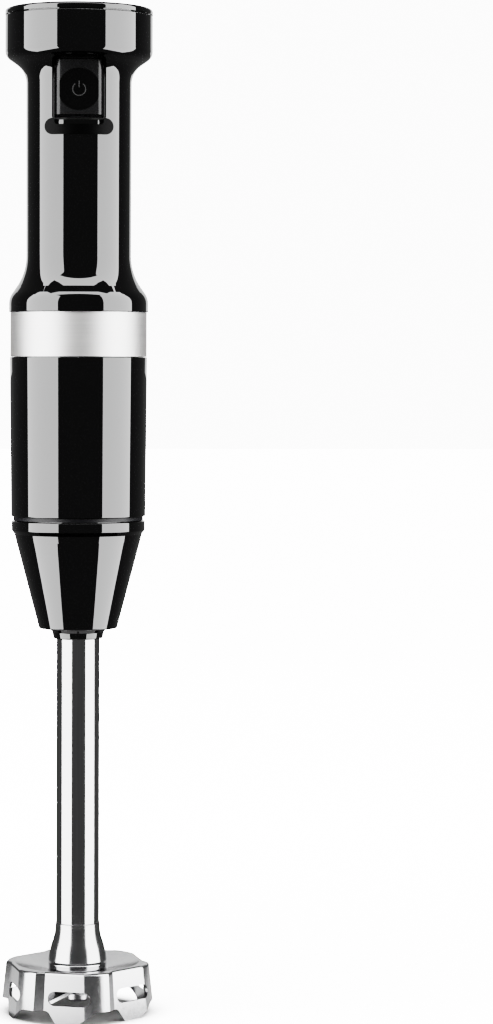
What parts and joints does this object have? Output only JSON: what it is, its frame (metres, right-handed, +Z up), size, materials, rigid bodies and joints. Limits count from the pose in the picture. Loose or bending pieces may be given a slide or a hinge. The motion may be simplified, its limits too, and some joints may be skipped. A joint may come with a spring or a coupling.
{
  "type": "immersion blender",
  "caption": "Hand-held immersion blender: gloss black grip with a squeeze trigger, brushed band, twist-off steel arm and a slotted bell round its blade.",
  "frame": {"origin": "on the axis, at the plane the bell's six feet stand on", "axes": "+Z up along the body from the bell to the cap, -Y towards the trigger, +X to the right of someone facing the trigger"},
  "size_m": [0.0616, 0.0614, 0.411],
  "materials": {
    "gloss_black": "polished black moulding",
    "trigger_black": "polished black button",
    "soft_black": "black rubber",
    "frame_black": "fine matt black",
    "brushed_band": "brushed round the body",
    "polished_steel": "polished stainless steel",
    "bell_steel": "fine satin stainless steel",
    "blade_steel": "ground stainless steel",
    "plain_steel": "plain steel",
    "inner_plastic": "grey engineering plastic",
    "board_green": "fibreglass board",
    "component_black": "moulded component",
    "capacitor_yellow": "boxed film capacitor",
    "aluminium": "extruded",
    "copper": "enamelled copper wire",
    "bronze": "sintered bronze",
    "brass": "pressed brass",
    "carbon": "pressed carbon",
    "lamination": "laminated electrical steel",
    "wire_blue": "insulated lead"
  },
  "bodies": {
    "motor_body": {"top_cap": "gloss_black", "upper_housing": "gloss_black", "trim_band": "brushed_band", "lower_housing": "gloss_black", "arm_socket": "inner_plastic", "trigger_bezel": "frame_black", "trigger_pin": "plain_steel", "finger_rest": "gloss_black", "switch_bracket": "inner_plastic", "switch_body": "component_black", "control_board": "board_green", "board_carrier": "inner_plastic", "capacitor": "capacitor_yellow", "heat_sink": "aluminium", "triac": "component_black", "choke_coils": "copper", "board_screws": "plain_steel", "terminal_block": "inner_plastic", "lead_wires": "wire_blue", "cord_gland": "soft_black", "cord_clamp": "inner_plastic", "clamp_screws": "plain_steel", "lower_bracket": "inner_plastic", "upper_bracket": "inner_plastic", "lower_bearing": "plain_steel", "upper_bearing": "plain_steel", "stator_core": "lamination", "field_coils": "copper", "brush_holders": "brass", "carbon_brushes": "carbon", "brush_springs": "plain_steel", "motor_bolts": "plain_steel", "motor_mounts": "soft_black"},
    "trigger_body": {"trigger": "trigger_black", "trigger_spring": "plain_steel"},
    "plunger": {"switch_plunger": "inner_plastic"},
    "rotor": {"motor_shaft": "plain_steel", "armature_core": "lamination", "armature_windings": "copper", "commutator": "copper", "cooling_fan": "inner_plastic", "drive_coupler": "component_black"},
    "cutter": {"drive_shaft": "plain_steel", "driven_coupler": "component_black", "retaining_clip": "plain_steel", "blade_hub": "plain_steel", "blade": "blade_steel", "blade_nut": "plain_steel"},
    "arm": {"arm_hub": "gloss_black", "hub_core": "inner_plastic", "hub_boot": "soft_black", "arm_tube": "polished_steel", "upper_bush": "bronze", "lower_bush": "bronze", "bearing_sleeve": "plain_steel", "shaft_seal": "soft_black", "neck": "polished_steel", "neck_collar": "polished_steel", "bell": "bell_steel", "bell_nut": "plain_steel"}
  },
  "joints": [
    {"name": "trigger_press", "type": "hinge", "parent": "motor_body", "child": "trigger_body", "pos_m": [0, -0.0165, 0.385], "axis": [1, 0, 0], "range_deg": [0, 9], "stiffness_Nm_per_rad": 0.2, "springref_deg": -5.73, "deforming": ["trigger_spring"]},
    {"name": "plunger_slide", "type": "slide", "parent": "motor_body", "child": "plunger", "axis": [0, 1, 0], "range_m": [0, 0.0013]},
    {"name": "rotor_spin", "type": "hinge", "parent": "motor_body", "child": "rotor", "pos_m": [0, 0, 0.246], "axis": [0, 0, 1], "continuous": true},
    {"name": "cutter_spin", "type": "hinge", "parent": "motor_body", "child": "cutter", "pos_m": [0, 0, 0.1], "axis": [0, 0, 1], "continuous": true},
    {"name": "arm_twist", "type": "hinge", "parent": "motor_body", "child": "arm", "pos_m": [0, 0, 0.205], "axis": [0, 0, 1], "range_deg": [0, 20]}
  ],
  "couplings": [
    {"joint": "plunger_slide", "follows": "trigger_press", "m_per_rad": 0.008},
    {"joint": "cutter_spin", "follows": "rotor_spin", "ratio": 1}
  ]
}
